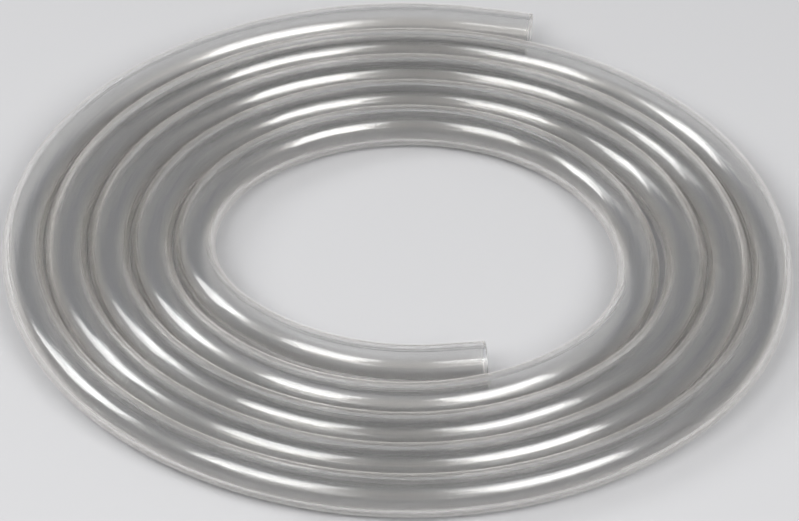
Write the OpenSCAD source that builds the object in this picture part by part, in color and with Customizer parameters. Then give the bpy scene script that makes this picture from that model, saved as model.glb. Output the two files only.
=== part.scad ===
// Coil of clear silicone tubing: one length of hollow round tube, wound into a flat spiral that lies on a table.
// Seen from above, the tube starts at its outer end, at the back, and winds inwards anticlockwise.
// Each turn is four bends, one over each side of the coil, and each bend runs smoothly into the next.
// The bends are drawn with their joints on the two axes, and the drawn coil is then set square to the table.
// The origin is under the middle of the coil, on the surface that it lies on.

/* [Tube] */
// Outside diameter of the tube
tube_od = 10; // [8:0.5:12]
// Wall thickness of the tube
tube_wall = 1.5; // [0.6:0.1:2.4]

/* [Coil] */
// Width over the outermost turn, from the left side to the right side
coil_w = 189; // [180:1:200]
// Depth over the outermost turn, from the front to the back
coil_d = 183; // [176:1:196]
// Clearance between turns that lie side by side
turn_gap = 0.2; // [0.1:0.1:0.6]
// Whole turns of the spiral
turns = 4; // [2:1:4]
// Widest opening between the innermost turn and the next one, on the right side
loose_gap = 1.6; // [0.2:0.1:2.4]

/* [Ends] */
// Straight length of the outer end
outer_end_len = 14; // [10:1:24]
// How far the last bend is drawn in from the spiral, towards the middle
inner_tuck = 5; // [4.5:0.5:7]
// How much flatter the tube bends just before the inner end
inner_ease = 10; // [8:0.5:12]
// Clearance between the inner end's cut face and the next turn
inner_gap = 0.8; // [0.2:0.1:1.2]

/* [Hidden] */
$fn = 48;
sweep_fn = 144;

tube_r = tube_od / 2;
bore_r = tube_r - tube_wall;
pitch = tube_od + turn_gap;

// The side bends are tighter than the front and back bends by this much, which makes the coil oval
oval_step = drawn((coil_w - coil_d + pitch / 2) / (2 * sqrt(2) - 2));
// Radius of the outermost back bend, at the middle of the tube
first_r = drawn((coil_w - tube_od + pitch + (2 - sqrt(2)) * oval_step) / 2);
// The radius shrinks by the first step on entering a side bend and by the second on leaving it
side_in = drawn(pitch / 4) + oval_step;
side_out = drawn(pitch / 4) - oval_step;

// Angle that turns the drawn coil square to the table
set_square = -45;
// Bends that end between the axes are cut at whole steps of the corner angle of a 3-4-5 triangle
corner = atan2(4, 3);
loose_from = 90 - corner;
loose_to = 180 - corner;
tuck_at = 270 - corner;
inner_end_at = 270 + corner;
outer_end_at = 180 - corner;

// The loose stretch bends tighter, flatter, tighter again, by steps that bring it back to the spiral
loose_ratio = sin(corner) / (1 - cos(corner));
loose_share = norm(toward(0) - loose_ratio * toward(loose_from)) - (loose_ratio - 1);
loose_step = drawn(loose_gap / loose_share);
flat_step = drawn(loose_ratio * loose_step);

// Bends are numbered from the outer end: back, left, front, right, and round again
last_right = 4 * turns - 1;
last_back = 4 * turns;
last_left = 4 * turns + 1;
inner_front = 4 * turns + 2;

// A size as it is drawn, to the hundredth
function drawn(size) = round(100 * size) / 100;

// Unit vector in a direction
function toward(angle) = [cos(angle), sin(angle)];

// Radius of a bend of the spiral, and its centre at a corner of the rectangle that the four bends turn about
function bend_r(k) = first_r - floor((k + 1) / 2) * side_in - floor(k / 2) * side_out;
function bend_at(k) = [k % 4 == 1 || k % 4 == 2 ? -side_in : 0, k % 4 >= 2 ? -side_out : 0];

// A bend centre as it lies once the coil is set square
function square_at(k) = [
    bend_at(k) * toward(-set_square),
    bend_at(k) * toward(90 - set_square)
];

// Radii and centres of the three bends of the loose stretch
loose_r_1 = bend_r(last_right) - loose_step;
loose_r_2 = loose_r_1 + flat_step;
loose_r_3 = bend_r(last_back) - loose_step;
loose_centre_1 = bend_at(last_right) + loose_step * toward(0);
loose_centre_2 = loose_centre_1 - flat_step * toward(loose_from);
loose_centre_3 = bend_at(last_back) + loose_step * toward(loose_to);

// Radii and centres of the drawn-in bend and of the flatter bend before the inner end
tuck_step = drawn(inner_tuck);
tuck_r = bend_r(last_left) - tuck_step;
tuck_centre = bend_at(last_left) + tuck_step * toward(tuck_at);
ease_r = bend_r(inner_front) - tuck_step + drawn(inner_ease);
ease_centre = tuck_centre + (tuck_r - ease_r) * toward(270);

// The inner end runs on straight until it lies beside the next turn
beside_r = bend_r(inner_front) + turn_gap - inner_gap;
from_turn = ease_centre + ease_r * toward(inner_end_at) - bend_at(inner_front);
along_turn = from_turn * toward(inner_end_at + 90);
inner_end_len = drawn(sqrt(along_turn ^ 2 + beside_r ^ 2 - from_turn * from_turn) - along_turn);

// Middle of the outermost turn, between its four sides
mid_x = (square_at(3).x + bend_r(3) + square_at(1).x - bend_r(1)) / 2;
mid_y = (square_at(0).y + bend_r(0) + square_at(2).y - bend_r(2)) / 2;

// Cut end of the tube: a ring
module section() {
    difference() {
        circle(r = tube_r);
        circle(r = bore_r);
    }
}

// A quarter bend of the tube about a centre, from the direction start
module bend(centre, r, start) {
    translate([centre.x, centre.y, tube_r])
        rotate_extrude(angle = 90, start = start, $fn = sweep_fn)
            translate([r, 0])
                section();
}

// A block over a bend, on one side of a direction: way is 1 to cover what lies past it, -1 what lies before it
module block(centre, r, edge, way) {
    reach = r + tube_od;
    translate([centre.x, centre.y, tube_r])
        rotate([0, 0, edge])
            translate([0, way > 0 ? 0 : -reach, -tube_od])
                cube([reach, reach, 2 * tube_od]);
}

// A straight length of tube that meets a bend at a direction: way is 1 to run on from it, -1 to run back
module straight(centre, r, edge, length, way) {
    translate([centre.x, centre.y, tube_r])
        rotate([0, 0, edge])
            translate([r, 0, 0])
                rotate([-90 * way, 0, 0])
                    linear_extrude(height = length)
                        section();
}

// A quarter bend that stops at a direction
module bend_to(centre, r, start, edge) {
    difference() {
        bend(centre, r, start);
        block(centre, r, edge, 1);
    }
}

// A quarter bend that begins at a direction
module bend_from(centre, r, start, edge) {
    difference() {
        bend(centre, r, start);
        block(centre, r, edge, -1);
    }
}

// The outer end runs off straight from the outermost back bend
module outer_end() {
    straight(bend_at(0), first_r, outer_end_at, outer_end_len, -1);
    bend_from(bend_at(0), first_r, 90, outer_end_at);
}

// The plain bends of the spiral, up to the loose stretch
module spiral() {
    for (k = [1 : last_right - 1])
        bend(bend_at(k), bend_r(k), 90 * (k % 4 + 1));
}

// The innermost turn stands off from the next one along its right side and the start of its back
module loose_stretch() {
    bend_to(loose_centre_1, loose_r_1, 0, loose_from);
    bend_from(loose_centre_2, loose_r_2, 0, loose_from);
    bend_to(loose_centre_3, loose_r_3, 90, loose_to);
    bend_from(bend_at(last_back), bend_r(last_back), 90, loose_to);
}

// The inner end: the tube is drawn in, bends more gently and runs on straight to its cut face
module inner_end() {
    bend_to(bend_at(last_left), bend_r(last_left), 180, tuck_at);
    bend_from(tuck_centre, tuck_r, 180, tuck_at);
    bend_to(ease_centre, ease_r, 270, inner_end_at);
    straight(ease_centre, ease_r, inner_end_at, inner_end_len, 1);
}

module silicone_tubing() {
    color("gainsboro")
        translate([-mid_x, -mid_y, 0])
            rotate([0, 0, set_square]) {
                outer_end();
                spiral();
                loose_stretch();
                inner_end();
            }
}

silicone_tubing();
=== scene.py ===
"""Coil of clear silicone tubing: the tube as it is seen, its finish and the stage it lies on."""

import math

import bpy
from bpy.props import FloatProperty, FloatVectorProperty, IntProperty, PointerProperty
from bpy.types import Operator, Panel, PropertyGroup
from mathutils import Matrix, Vector, kdtree


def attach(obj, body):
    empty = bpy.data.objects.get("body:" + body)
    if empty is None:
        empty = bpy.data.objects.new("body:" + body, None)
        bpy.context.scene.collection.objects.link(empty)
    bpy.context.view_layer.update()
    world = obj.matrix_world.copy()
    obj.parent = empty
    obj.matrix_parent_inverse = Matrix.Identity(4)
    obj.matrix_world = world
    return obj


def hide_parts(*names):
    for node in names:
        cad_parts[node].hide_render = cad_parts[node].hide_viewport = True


bl_info = {
    "name": "Silicone tubing coil",
    "version": (1, 0, 0),
    "blender": (4, 5, 0),
    "location": "View3D > Sidebar > Tubing",
    "description": "Models a flat coil of clear silicone tubing and the stage it lies on",
    "category": "Object",
}

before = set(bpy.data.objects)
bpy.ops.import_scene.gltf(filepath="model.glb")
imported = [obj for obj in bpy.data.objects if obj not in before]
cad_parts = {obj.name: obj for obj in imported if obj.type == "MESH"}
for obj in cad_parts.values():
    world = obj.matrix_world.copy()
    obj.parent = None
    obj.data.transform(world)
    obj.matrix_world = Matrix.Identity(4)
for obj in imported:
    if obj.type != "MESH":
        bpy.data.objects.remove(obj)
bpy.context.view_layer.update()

# Corner angle of a 3-4-5 triangle, at whole steps of which the odd bends start and stop
CORNER = math.degrees(math.atan2(4, 3))
# The bends are worked out with their joints on the axes, and the coil is then turned square to the table
SET_SQUARE = -45
# Points round the section, spin steps in a quarter bend and steps along a straight end
ROUND_POINTS = 48
QUARTER_STEPS = 40
STRAIGHT_STEPS = 3
# Distance of the last ring of points from a cut face, in rim roundings
RIM_SHARE = 3
# Points that lie closer than this are one point
MERGE_WITHIN = 1e-6
# An edge sharper than the first angle is a cut rim, and the skin is smooth up to the second
RIM_ANGLE = math.radians(60)
SMOOTH_ANGLE = math.radians(50)
# Spacing of the points that tell which way the tube runs, and of the route points, which are worked out
# but not used further
RUN_SPACING = 0.0005
ROUTE_SPACING = 0.003

# Refraction of the silicone and of its drawn skin
SILICONE_IOR = 1.41
SKIN_IOR = 1.5
# Where the painted light along each side of the tube, a lighter band standing in for the light seen edge
# on through the wall, starts and where it is full, in shares of the radius
BAND_RANGE = (0.35, 0.85)
# Extrusion lines: how finely they divide the tube round it and along it, and their height
LINES_ROUND = 6.0
LINES_ALONG = 6.0
LINE_HEIGHT = 0.0004
# Duller streaks: scale beside the lines, the part of the noise that shows, and the roughness they span
STREAK_SCALE = 0.35
STREAK_RANGE = (0.4, 0.75)
STREAK_GLOSS = (0.8, 1.3)

# Softboxes: direction round the coil and above the floor, in degrees, and share of the full size
SOFTBOXES = (
    ("right", -45, 45, 1.0),
    ("front", -130, 50, 0.82),
    ("left", 170, 38, 0.78),
)
FLOOR_SIZE = 12.0
FLOOR_ROUGHNESS = 0.9
# Point that the camera looks at, and the width of its sensor in millimetres
LOOK_AT = (0.000595, -0.005591, 0.005)
SENSOR_WIDTH = 36.0


class TubingSizes(PropertyGroup):
    """Sizes of the tube and of the way it is wound"""

    tube_od: FloatProperty(
        name="Outside diameter", description="Outside diameter of the tube",
        default=0.010, min=0.008, max=0.012, unit="LENGTH", precision=4)
    tube_wall: FloatProperty(
        name="Wall", description="Wall thickness of the tube",
        default=0.0015, min=0.0006, max=0.0024, unit="LENGTH", precision=4)
    coil_w: FloatProperty(
        name="Coil width", description="Width over the outermost turn",
        default=0.189, min=0.180, max=0.200, unit="LENGTH", precision=4)
    coil_d: FloatProperty(
        name="Coil depth", description="Depth over the outermost turn",
        default=0.183, min=0.176, max=0.196, unit="LENGTH", precision=4)
    turn_gap: FloatProperty(
        name="Turn gap", description="Clearance between turns that lie side by side",
        default=0.0002, min=0.0001, max=0.0006, unit="LENGTH", precision=5)
    turns: IntProperty(
        name="Turns", description="Whole turns of the spiral",
        default=4, min=2, max=4)
    loose_gap: FloatProperty(
        name="Loose gap", description="Widest opening beside the innermost turn, on the right",
        default=0.0016, min=0.0002, max=0.0024, unit="LENGTH", precision=4)
    outer_end_len: FloatProperty(
        name="Outer end", description="Straight length of the outer end",
        default=0.014, min=0.010, max=0.024, unit="LENGTH", precision=4)
    inner_tuck: FloatProperty(
        name="Inner tuck", description="How far the last bend is drawn in from the spiral",
        default=0.005, min=0.0045, max=0.007, unit="LENGTH", precision=4)
    inner_ease: FloatProperty(
        name="Inner ease", description="How much flatter the tube bends just before the inner end",
        default=0.010, min=0.008, max=0.012, unit="LENGTH", precision=4)
    inner_gap: FloatProperty(
        name="Inner gap", description="Clearance between the inner end's cut face and the next turn",
        default=0.0008, min=0.0002, max=0.0012, unit="LENGTH", precision=4)
    rim_round: FloatProperty(
        name="Rim rounding", description="Rounding of the cut rims",
        default=0.00012, min=0.00002, max=0.0003, unit="LENGTH", precision=5)


class TubingFinish(PropertyGroup):
    """Look of the silicone, with painted light along the tube's sides and on its cut faces"""

    tint: FloatVectorProperty(
        name="Tint", description="Colour of the silicone",
        default=(0.82, 0.83, 0.845), size=3, min=0.0, max=1.0, subtype="COLOR")
    # Painted light: a lighter colour along each side of the tube, standing in for the light seen edge on
    # through the wall
    side_light_paint: FloatVectorProperty(
        name="Painted side light", description="Colour of the lighter bands along the tube's sides",
        default=(1.0, 0.985, 0.96), size=3, min=0.0, max=1.0, subtype="COLOR")
    clearness: FloatProperty(
        name="Clearness", description="Share of the light that goes through",
        default=0.98, min=0.0, max=1.0, subtype="FACTOR")
    roughness: FloatProperty(
        name="Roughness", description="Roughness of the drawn surface",
        default=0.09, min=0.0, max=1.0, subtype="FACTOR")
    shine: FloatProperty(
        name="Shine", description="Strength of the soft gloss",
        default=1.0, min=0.0, max=1.0, subtype="FACTOR")
    coat: FloatProperty(
        name="Skin", description="Strength of the sharper gloss of the drawn skin",
        default=0.9, min=0.0, max=1.0, subtype="FACTOR")
    coat_roughness: FloatProperty(
        name="Skin roughness", description="Roughness of the drawn skin",
        default=0.18, min=0.0, max=1.0, subtype="FACTOR")
    milk: FloatProperty(
        name="Milkiness", description="Milky light in the wall where it is seen edge on",
        default=0.5, min=0.0, max=1.0, subtype="FACTOR")
    milk_spread: FloatProperty(
        name="Milk spread", description="How far the milky light reaches in from the edge",
        default=0.45, min=0.0, max=1.0, subtype="FACTOR")
    milk_tint: FloatVectorProperty(
        name="Milk tint", description="Colour of the milky light",
        default=(1.0, 0.96, 0.91), size=3, min=0.0, max=1.0, subtype="COLOR")
    cut_roughness: FloatProperty(
        name="Cut roughness", description="Roughness of the two cut faces",
        default=0.5, min=0.0, max=1.0, subtype="FACTOR")
    line_depth: FloatProperty(
        name="Draw lines", description="Strength of the fine lines drawn along the tube",
        default=0.2, min=0.0, max=1.0, subtype="FACTOR")


class TubingStage(PropertyGroup):
    """Floor, lamps and camera"""

    floor_colour: FloatVectorProperty(
        name="Floor", description="Colour of the floor",
        default=(0.50, 0.50, 0.51), size=3, min=0.0, max=1.0, subtype="COLOR")
    lamp_power: FloatProperty(
        name="Lamp power", description="Power of a full-size softbox, in watts",
        default=9.0, min=0.0, max=200.0)
    lamp_size: FloatProperty(
        name="Lamp size", description="Side of a full-size softbox",
        default=0.7, min=0.05, max=2.0, unit="LENGTH")
    lamp_distance: FloatProperty(
        name="Lamp distance", description="Distance of each softbox from the coil",
        default=1.2, min=0.3, max=5.0, unit="LENGTH")
    fill: FloatProperty(
        name="Fill", description="Strength of the even light from all round",
        default=0.43, min=0.0, max=2.0)
    camera_height: FloatProperty(
        name="Camera elevation", description="Angle of the camera above the floor",
        default=math.radians(40.956), unit="ROTATION")
    camera_roll: FloatProperty(
        name="Camera roll", description="Turn of the camera about its own line of sight",
        default=math.radians(1.516), unit="ROTATION")
    camera_distance: FloatProperty(
        name="Camera distance", description="Distance of the camera from its target",
        default=1.121525, min=0.2, max=10.0, unit="LENGTH", precision=5)
    camera_lens: FloatProperty(
        name="Lens", description="Focal length on a 36 mm sensor, in millimetres",
        default=211.6, min=10.0, max=400.0)


def toward(degrees):
    """Unit vector in a direction on the table."""
    angle = math.radians(degrees)
    return Vector((math.cos(angle), math.sin(angle)))


def drawn(length):
    """A length as it is drawn, to the hundredth of a millimetre."""
    return round(length * 1e5) / 1e5


def wound_bends(sizes):
    """Bends from the outer end in, each a centre, radius, start and stop, and both straight lengths."""
    pitch = sizes.tube_od + sizes.turn_gap
    root = math.sqrt(2)
    oval = drawn((sizes.coil_w - sizes.coil_d + pitch / 2) / (2 * root - 2))
    first = drawn((sizes.coil_w - sizes.tube_od + pitch + (2 - root) * oval) / 2)
    side_in = drawn(pitch / 4) + oval
    side_out = drawn(pitch / 4) - oval

    def radius(k):
        return first - (k + 1) // 2 * side_in - k // 2 * side_out

    def centre(k):
        return Vector((-side_in if k % 4 in (1, 2) else 0.0, -side_out if k % 4 >= 2 else 0.0))

    right = 4 * sizes.turns - 1
    back, left, front = right + 1, right + 2, right + 3
    bends = [(centre(0), radius(0), 180 - CORNER, 180)]
    bends += [(centre(k), radius(k), 90 * k + 90, 90 * k + 180) for k in range(1, right)]

    # The innermost turn stands off from the next one: tighter, flatter, tighter again
    turn = 90 * right + 90
    ratio = math.sin(math.radians(CORNER)) / (1 - math.cos(math.radians(CORNER)))
    share = (toward(0) - ratio * toward(90 - CORNER)).length - (ratio - 1)
    step = drawn(sizes.loose_gap / share)
    flat = drawn(ratio * step)
    loose = centre(right) + step * toward(0)
    bends += [
        (loose, radius(right) - step, turn, turn + 90 - CORNER),
        (loose - flat * toward(90 - CORNER), radius(right) - step + flat, turn + 90 - CORNER, turn + 90),
        (centre(back) + step * toward(180 - CORNER), radius(back) - step, turn + 90, turn + 180 - CORNER),
        (centre(back), radius(back), turn + 180 - CORNER, turn + 180),
    ]

    # The inner end is drawn in, bends more gently and runs on straight until it lies beside the next turn
    tuck = drawn(sizes.inner_tuck)
    tuck_r = radius(left) - tuck
    tuck_centre = centre(left) + tuck * toward(270 - CORNER)
    ease_r = radius(front) - tuck + drawn(sizes.inner_ease)
    ease_centre = tuck_centre + (tuck_r - ease_r) * toward(270)
    stop = 270 + CORNER
    bends += [
        (centre(left), radius(left), turn + 180, turn + 270 - CORNER),
        (tuck_centre, tuck_r, turn + 270 - CORNER, turn + 270),
        (ease_centre, ease_r, turn + 270, turn + stop),
    ]
    beside_r = radius(front) + sizes.turn_gap - sizes.inner_gap
    apart = ease_centre + ease_r * toward(stop) - centre(front)
    along = apart.dot(toward(stop + 90))
    inner_len = drawn(math.sqrt(along ** 2 + beside_r ** 2 - apart.dot(apart)) - along)

    # The coil is turned square and its middle is brought over the origin
    square = Matrix.Rotation(math.radians(SET_SQUARE), 2)
    at = [square @ centre(k) for k in range(4)]
    middle = Vector((
        (at[3].x + radius(3) + at[1].x - radius(1)) / 2,
        (at[0].y + radius(0) + at[2].y - radius(2)) / 2,
    ))
    placed = [(square @ c - middle, r, start + SET_SQUARE, end + SET_SQUARE) for c, r, start, end in bends]
    return placed, sizes.outer_end_len, inner_len


def centreline(sizes, spacing):
    """Points along the middle of the tube and the way it runs at each, from the outer end in."""
    bends, outer_len, inner_len = wound_bends(sizes)
    height = sizes.tube_od / 2
    stations = []

    def add_straight(start, heading, length):
        count = max(1, math.ceil(length / spacing))
        for i in range(count):
            place = start + heading * (length * i / count)
            stations.append((Vector((place.x, place.y, height)), heading))

    first = bends[0]
    heading = toward(first[2] + 90)
    add_straight(first[0] + first[1] * toward(first[2]) - heading * outer_len, heading, outer_len)
    for centre, radius, start, end in bends:
        count = max(1, math.ceil(math.radians(end - start) * radius / spacing))
        for i in range(count):
            angle = start + (end - start) * i / count
            place = centre + radius * toward(angle)
            stations.append((Vector((place.x, place.y, height)), toward(angle + 90)))
    last = bends[-1]
    heading = toward(last[3] + 90)
    start = last[0] + last[1] * toward(last[3])
    add_straight(start, heading, inner_len)
    tip = start + heading * inner_len
    stations.append((Vector((tip.x, tip.y, height)), heading))
    return stations


def deselect_all():
    """Leave edit mode and select nothing."""
    if bpy.context.mode != "OBJECT":
        bpy.ops.object.mode_set(mode="OBJECT")
    bpy.ops.object.select_all(action="DESELECT")


def apply_modifier(piece, name):
    """Apply one modifier of the active piece."""
    bpy.context.view_layer.objects.active = piece
    bpy.ops.object.modifier_apply(modifier=name)


def wind_tube(sizes):
    """The tube as a mesh: a ring drawn along the straights, spun round each bend and given its wall."""
    bends, outer_len, inner_len = wound_bends(sizes)
    tube_r = sizes.tube_od / 2
    rim = RIM_SHARE * sizes.rim_round
    centre, radius, start, _ = bends[0]
    heading = toward(start + 90)
    tip = centre + radius * toward(start) - heading * outer_len
    deselect_all()
    bpy.ops.mesh.primitive_circle_add(
        vertices=ROUND_POINTS, radius=tube_r, fill_type="NOTHING", location=(tip.x, tip.y, tube_r),
        rotation=(math.pi / 2, 0.0, math.atan2(heading.y, heading.x) + math.pi / 2))
    tube = bpy.context.active_object
    tube.name = tube.data.name = "tube_coil"
    bpy.ops.object.transform_apply(location=True, rotation=True, scale=True)

    bpy.ops.object.mode_set(mode="EDIT")
    bpy.ops.mesh.select_mode(type="EDGE")
    bpy.ops.mesh.select_all(action="SELECT")
    draw_out(heading, [rim] + [(outer_len - rim) / STRAIGHT_STEPS] * STRAIGHT_STEPS)
    for centre, radius, start, end in bends:
        sweep = end - start
        bpy.ops.mesh.spin(
            steps=max(2, round(QUARTER_STEPS * sweep / 90)), angle=math.radians(sweep),
            center=(centre.x, centre.y, tube_r), axis=(0.0, 0.0, -1.0))
    draw_out(toward(bends[-1][3] + 90), [(inner_len - rim) / STRAIGHT_STEPS] * STRAIGHT_STEPS + [rim])
    bpy.ops.mesh.select_all(action="SELECT")
    bpy.ops.mesh.remove_doubles(threshold=MERGE_WITHIN)
    bpy.ops.mesh.normals_make_consistent(inside=False)
    bpy.ops.object.mode_set(mode="OBJECT")

    wall = tube.modifiers.new("Wall", "SOLIDIFY")
    wall.thickness = sizes.tube_wall
    wall.offset = -1.0
    wall.use_rim = True
    apply_modifier(tube, "Wall")
    rims = tube.modifiers.new("Cut rims", "BEVEL")
    rims.width = sizes.rim_round
    rims.segments = 2
    rims.limit_method = "ANGLE"
    rims.angle_limit = RIM_ANGLE
    apply_modifier(tube, "Cut rims")
    bpy.ops.object.shade_smooth_by_angle(angle=SMOOTH_ANGLE)
    return tube


def draw_out(heading, steps):
    """Draw the selected ring out along a straight end, step by step."""
    for length in steps:
        step = heading * length
        bpy.ops.mesh.extrude_edges_move(TRANSFORM_OT_translate={"value": (step.x, step.y, 0.0)})


def mark_draw_direction(tube, stations, rim):
    """Give each point its place round the section and along the tube, and mark the cut faces."""
    tree = kdtree.KDTree(len(stations))
    run = [0.0]
    for (a, _), (b, _) in zip(stations, stations[1:]):
        run.append(run[-1] + (b - a).length)
    for i, (place, _) in enumerate(stations):
        tree.insert(place, i)
    tree.balance()
    tube.data.attributes.new("draw", "FLOAT_VECTOR", "POINT")
    tube.data.attributes.new("cut", "FLOAT", "POINT")
    marks = tube.data.attributes["draw"].data
    cuts = tube.data.attributes["cut"].data
    for point, mark, cut in zip(tube.data.vertices, marks, cuts):
        place, i, _ = tree.find(point.co)
        heading = stations[i][1]
        off = point.co - place
        side = Vector((-heading.y, heading.x, 0.0)).dot(off)
        radius = math.hypot(side, off.z)
        mark.vector = (side / radius, off.z / radius, run[i])
        along = run[i] + heading.dot(off.xy)
        cut.value = 1.0 if min(along, run[-1] - along) < rim / 2 else 0.0
    return run[-1]


def link(tree, source, target):
    """Join an output socket to an input socket."""
    tree.links.new(source, target)


def draw_line_group():
    """Node group: the extrusion lines as a height, and the duller streaks and the sides as masks; the side
    mask places the painted light along the tube's sides.
    """
    group = bpy.data.node_groups.new("Extrusion lines", "ShaderNodeTree")
    group.interface.new_socket("Lines round", in_out="INPUT", socket_type="NodeSocketFloat")
    group.interface.new_socket("Height", in_out="OUTPUT", socket_type="NodeSocketFloat")
    group.interface.new_socket("Streak", in_out="OUTPUT", socket_type="NodeSocketFloat")
    group.interface.new_socket("Side", in_out="OUTPUT", socket_type="NodeSocketFloat")
    nodes = group.nodes
    given = nodes.new("NodeGroupInput")
    put = nodes.new("NodeGroupOutput")
    draw = nodes.new("ShaderNodeAttribute")
    draw.attribute_name = "draw"
    split = nodes.new("ShaderNodeSeparateXYZ")
    link(group, draw.outputs["Vector"], split.inputs["Vector"])
    place = nodes.new("ShaderNodeCombineXYZ")
    for axis in "XY":
        around = nodes.new("ShaderNodeMath")
        around.operation = "MULTIPLY"
        link(group, split.outputs[axis], around.inputs[0])
        link(group, given.outputs["Lines round"], around.inputs[1])
        link(group, around.outputs[0], place.inputs[axis])
    slow = nodes.new("ShaderNodeMath")
    slow.operation = "MULTIPLY"
    slow.inputs[1].default_value = LINES_ALONG
    link(group, split.outputs["Z"], slow.inputs[0])
    link(group, slow.outputs[0], place.inputs["Z"])
    fine = nodes.new("ShaderNodeTexNoise")
    fine.inputs["Scale"].default_value = 1.0
    fine.inputs["Detail"].default_value = 2.0
    link(group, place.outputs["Vector"], fine.inputs["Vector"])
    link(group, fine.outputs["Fac"], put.inputs["Height"])
    broad = nodes.new("ShaderNodeTexNoise")
    broad.inputs["Scale"].default_value = STREAK_SCALE
    broad.inputs["Detail"].default_value = 3.0
    link(group, place.outputs["Vector"], broad.inputs["Vector"])
    step = nodes.new("ShaderNodeMapRange")
    step.inputs["From Min"].default_value, step.inputs["From Max"].default_value = STREAK_RANGE
    link(group, broad.outputs["Fac"], step.inputs["Value"])
    link(group, step.outputs["Result"], put.inputs["Streak"])
    # How near each point is to the sides of the section: the mask for the painted side light
    side = nodes.new("ShaderNodeMath")
    side.operation = "ABSOLUTE"
    link(group, split.outputs["X"], side.inputs[0])
    link(group, side.outputs[0], put.inputs["Side"])
    return group


def clear_silicone(finish):
    """Material of the tube: clear, slightly milky silicone with a soft gloss, and painted light along the
    tube's sides and on its cut faces.
    """
    material = bpy.data.materials.new("clear_silicone")
    material.use_nodes = True
    tree = material.node_tree
    shader = tree.nodes["Principled BSDF"]
    shader.inputs["Transmission Weight"].default_value = finish.clearness
    shader.inputs["IOR"].default_value = SILICONE_IOR
    lines = tree.nodes.new("ShaderNodeGroup")
    lines.node_tree = draw_line_group()
    lines.inputs["Lines round"].default_value = LINES_ROUND
    # Painted light: the base colour runs from the tint to the lighter side colour towards the sides of the
    # section, standing in for the light seen edge on through the wall
    band = tree.nodes.new("ShaderNodeMapRange")
    band.interpolation_type = "SMOOTHSTEP"
    band.inputs["From Min"].default_value, band.inputs["From Max"].default_value = BAND_RANGE
    link(tree, lines.outputs["Side"], band.inputs["Value"])
    colour = tree.nodes.new("ShaderNodeMix")
    colour.data_type = "RGBA"
    colour.inputs["A"].default_value = (*finish.tint, 1.0)
    colour.inputs["B"].default_value = (*finish.side_light_paint, 1.0)
    link(tree, band.outputs["Result"], colour.inputs["Factor"])
    cut = tree.nodes.new("ShaderNodeAttribute")
    cut.attribute_name = "cut"
    # Painted light: the cut faces get a white base colour, standing in for the light that comes out of the
    # wall at the cut
    cut_painted_light = tree.nodes.new("ShaderNodeMix")
    cut_painted_light.data_type = "RGBA"
    cut_painted_light.inputs["B"].default_value = (1.0, 1.0, 1.0, 1.0)
    link(tree, cut.outputs["Fac"], cut_painted_light.inputs["Factor"])
    link(tree, colour.outputs["Result"], cut_painted_light.inputs["A"])
    link(tree, cut_painted_light.outputs["Result"], shader.inputs["Base Color"])
    shader.inputs["Specular IOR Level"].default_value = finish.shine
    shader.inputs["Coat Weight"].default_value = finish.coat
    shader.inputs["Coat Roughness"].default_value = finish.coat_roughness
    shader.inputs["Coat IOR"].default_value = SKIN_IOR
    shader.inputs["Sheen Weight"].default_value = finish.milk
    shader.inputs["Sheen Roughness"].default_value = finish.milk_spread
    shader.inputs["Sheen Tint"].default_value = (*finish.milk_tint, 1.0)
    gloss = tree.nodes.new("ShaderNodeMapRange")
    gloss.inputs["To Min"].default_value = finish.roughness * STREAK_GLOSS[0]
    gloss.inputs["To Max"].default_value = finish.roughness * STREAK_GLOSS[1]
    link(tree, lines.outputs["Streak"], gloss.inputs["Value"])
    cut_gloss = tree.nodes.new("ShaderNodeMix")
    cut_gloss.inputs["B"].default_value = finish.cut_roughness
    link(tree, cut.outputs["Fac"], cut_gloss.inputs["Factor"])
    link(tree, gloss.outputs["Result"], cut_gloss.inputs["A"])
    link(tree, cut_gloss.outputs["Result"], shader.inputs["Roughness"])
    bump = tree.nodes.new("ShaderNodeBump")
    bump.inputs["Strength"].default_value = finish.line_depth
    bump.inputs["Distance"].default_value = LINE_HEIGHT
    link(tree, lines.outputs["Height"], bump.inputs["Height"])
    link(tree, bump.outputs["Normal"], shader.inputs["Normal"])
    return material


class TUBING_OT_wind_coil(Operator):
    """Wind the tube into its flat coil and give it its finish"""

    bl_idname = "tubing.wind_coil"
    bl_label = "Wind coil"
    bl_options = {"REGISTER", "UNDO"}

    def execute(self, context):
        sizes = context.scene.tubing_sizes
        tube = wind_tube(sizes)
        length = mark_draw_direction(tube, centreline(sizes, RUN_SPACING), RIM_SHARE * sizes.rim_round)
        tube.data.materials.clear()
        tube.data.materials.append(clear_silicone(context.scene.tubing_finish))
        route = [place for place, _ in centreline(sizes, ROUTE_SPACING)]
        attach(tube, "root")
        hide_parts("silicone_tubing")
        return {"FINISHED"}


def plain_material(name, colour, roughness):
    """Even, matt material for the stage."""
    material = bpy.data.materials.new(name)
    material.use_nodes = True
    shader = material.node_tree.nodes["Principled BSDF"]
    shader.inputs["Base Color"].default_value = (*colour, 1.0)
    shader.inputs["Roughness"].default_value = roughness
    return material


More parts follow.
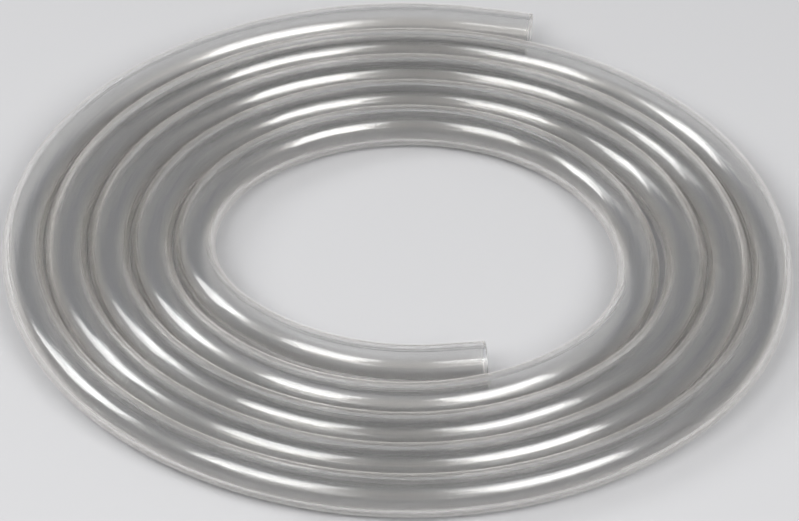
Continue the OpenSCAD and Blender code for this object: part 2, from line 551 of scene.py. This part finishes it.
class TUBING_OT_set_stage(Operator):
    """Lay the floor, hang the lamps and place the camera"""

    bl_idname = "tubing.set_stage"
    bl_label = "Set stage"
    bl_options = {"REGISTER", "UNDO"}

    def execute(self, context):
        stage = context.scene.tubing_stage
        deselect_all()
        bpy.ops.mesh.primitive_plane_add(size=FLOOR_SIZE, location=(0.0, 0.0, 0.0))
        floor = context.active_object
        floor.name = "floor"
        floor.data.materials.append(plain_material("floor", stage.floor_colour, FLOOR_ROUGHNESS))

        for name, round_at, above, share in SOFTBOXES:
            flat = math.cos(math.radians(above)) * toward(round_at)
            way = Vector((flat.x, flat.y, math.sin(math.radians(above))))
            bpy.ops.object.light_add(type="AREA", location=way * stage.lamp_distance)
            lamp = context.active_object
            lamp.name = f"softbox_{name}"
            lamp.rotation_euler = way.to_track_quat("Z", "Y").to_euler()
            lamp.data.shape = "SQUARE"
            lamp.data.size = stage.lamp_size * share
            lamp.data.energy = stage.lamp_power * share ** 2

        world = bpy.data.worlds.new("even light")
        world.use_nodes = True
        sky = world.node_tree.nodes["Background"]
        sky.inputs["Color"].default_value = (1.0, 1.0, 1.0, 1.0)
        sky.inputs["Strength"].default_value = stage.fill
        context.scene.world = world
        context.scene.view_settings.view_transform = "Standard"

        height = stage.camera_height
        back = Vector((0.0, -math.cos(height), math.sin(height)))
        bpy.ops.object.camera_add(location=Vector(LOOK_AT) + back * stage.camera_distance)
        camera = context.active_object
        camera.name = "camera"
        turned = Matrix.Rotation(math.pi / 2 - height, 3, "X") @ Matrix.Rotation(stage.camera_roll, 3, "Z")
        camera.rotation_euler = turned.to_euler()
        camera.data.sensor_width = SENSOR_WIDTH
        camera.data.lens = stage.camera_lens
        camera.data.clip_start = 0.01
        context.scene.camera = camera
        deselect_all()
        return {"FINISHED"}


class TUBING_PT_panel(Panel):
    """Sizes, finish and stage of the tubing coil"""

    bl_label = "Tubing coil"
    bl_idname = "TUBING_PT_panel"
    bl_space_type = "VIEW_3D"
    bl_region_type = "UI"
    bl_category = "Tubing"

    def draw(self, context):
        for group, operator in (
            ("tubing_sizes", TUBING_OT_wind_coil),
            ("tubing_finish", None),
            ("tubing_stage", TUBING_OT_set_stage),
        ):
            box = self.layout.box()
            values = getattr(context.scene, group)
            for name in values.__annotations__:
                box.prop(values, name)
            if operator:
                box.operator(operator.bl_idname)


CLASSES = (
    TubingSizes,
    TubingFinish,
    TubingStage,
    TUBING_OT_wind_coil,
    TUBING_OT_set_stage,
    TUBING_PT_panel,
)


def register():
    for cls in CLASSES:
        bpy.utils.register_class(cls)
    bpy.types.Scene.tubing_sizes = PointerProperty(type=TubingSizes)
    bpy.types.Scene.tubing_finish = PointerProperty(type=TubingFinish)
    bpy.types.Scene.tubing_stage = PointerProperty(type=TubingStage)


def unregister():
    del bpy.types.Scene.tubing_stage
    del bpy.types.Scene.tubing_finish
    del bpy.types.Scene.tubing_sizes
    for cls in reversed(CLASSES):
        bpy.utils.unregister_class(cls)


def main():
    """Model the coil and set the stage."""
    register()
    bpy.ops.tubing.wind_coil()
    bpy.ops.tubing.set_stage()


if __name__ == "__main__":
    main()
